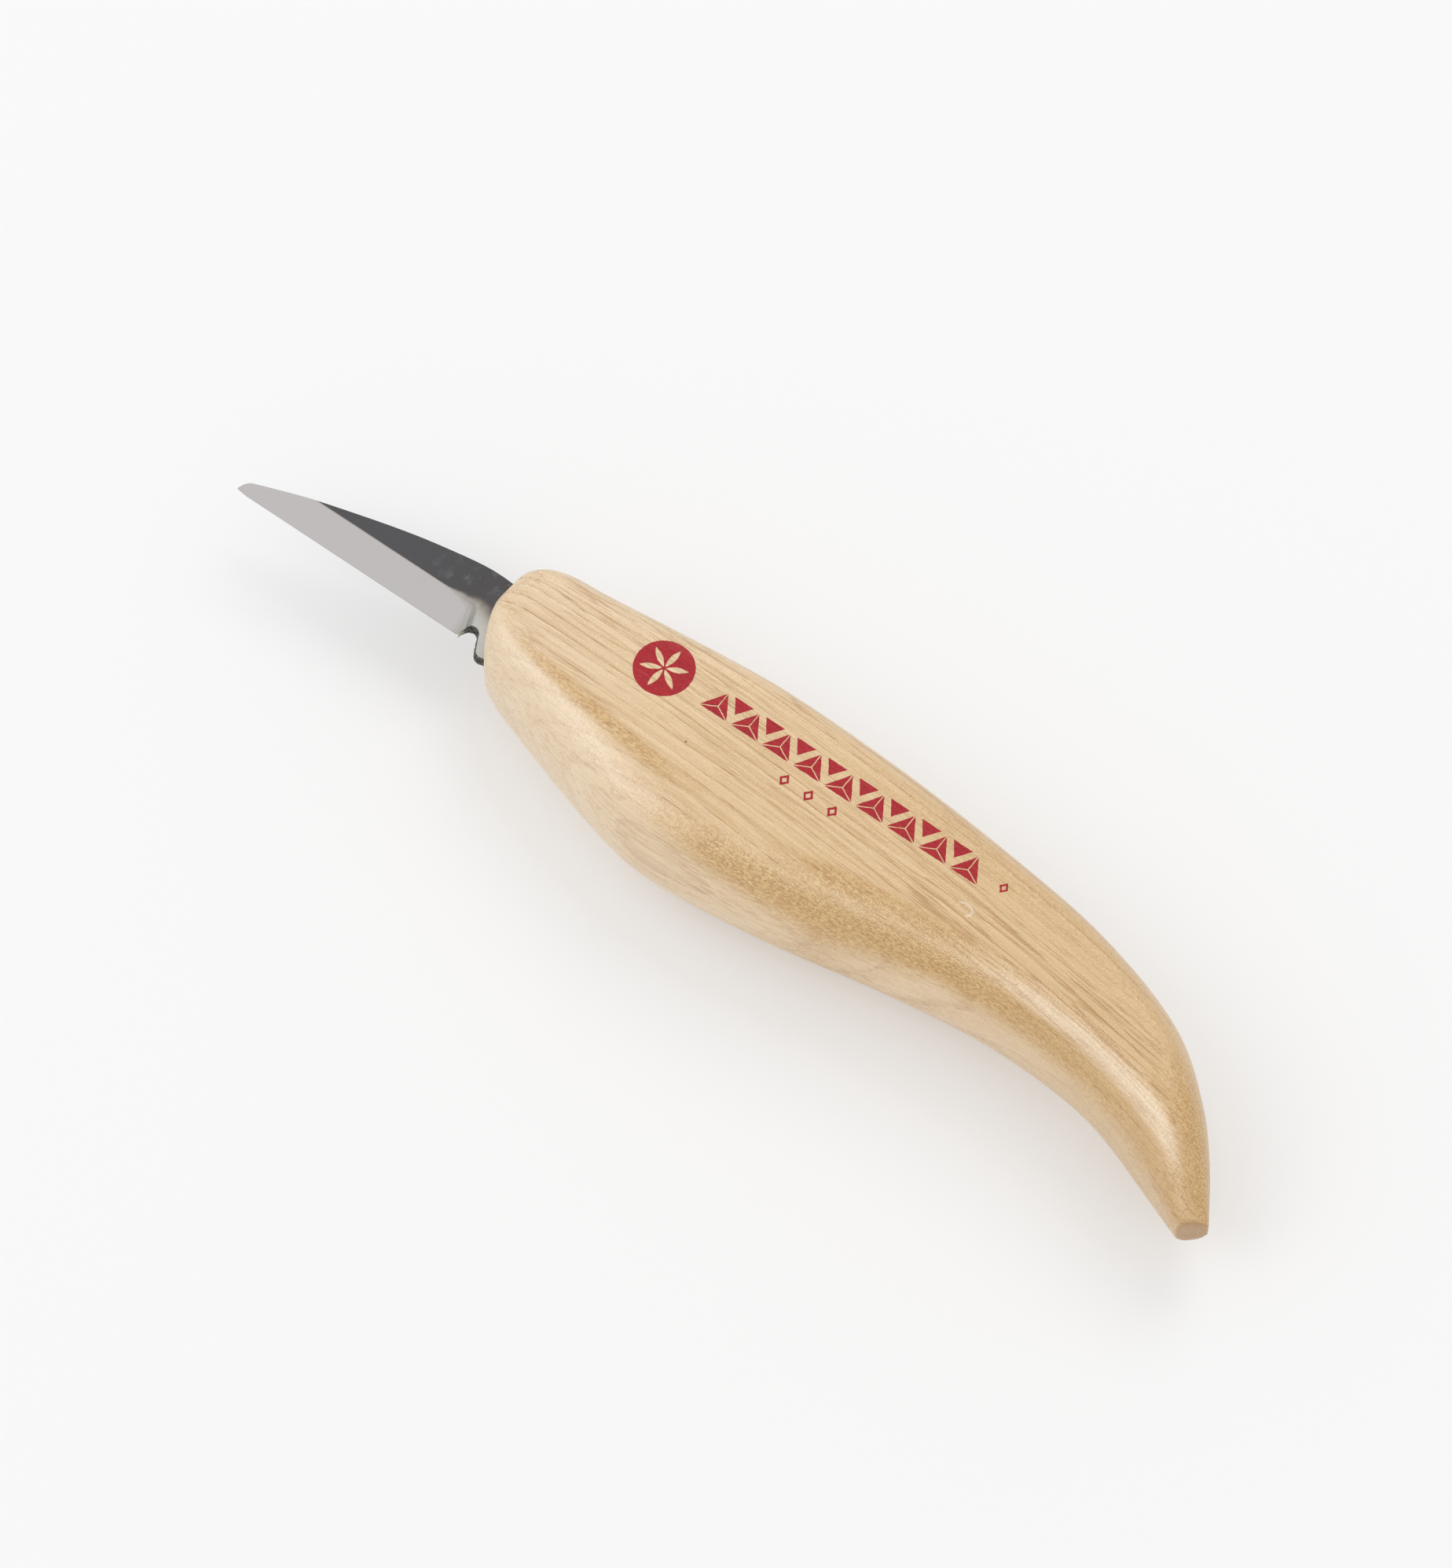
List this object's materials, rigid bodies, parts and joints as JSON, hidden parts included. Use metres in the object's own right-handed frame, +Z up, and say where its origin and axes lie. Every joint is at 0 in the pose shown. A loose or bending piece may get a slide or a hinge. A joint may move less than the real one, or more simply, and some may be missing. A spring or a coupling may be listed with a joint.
{
  "type": "chip carving knife",
  "caption": "Fixed-blade chip carving knife: short straight-edged steel blade with a tang glued into a curved, rounded ash handle with a hooked butt.",
  "frame": {"origin": "bottom centre of the bounding box, on the surface that the knife lies on", "axes": "+X from the blade's tip to the butt of the handle, +Y from the cutting edge's side to the spine's side, +Z up through the thickness"},
  "size_m": [0.1654, 0.0312, 0.021],
  "materials": {
    "blade_steel": "high-carbon steel, satin ground bevels under dark grey mill scale",
    "lacquered_ash": "pale ash under a satin clear lacquer",
    "epoxy": "cured amber epoxy",
    "red_ink": "thin pad-printed red ink under the lacquer"
  },
  "bodies": {
    "root": {"blade_with_tang": "blade_steel", "handle": "lacquered_ash", "tang_adhesive": "epoxy"}
  },
  "joints": []
}
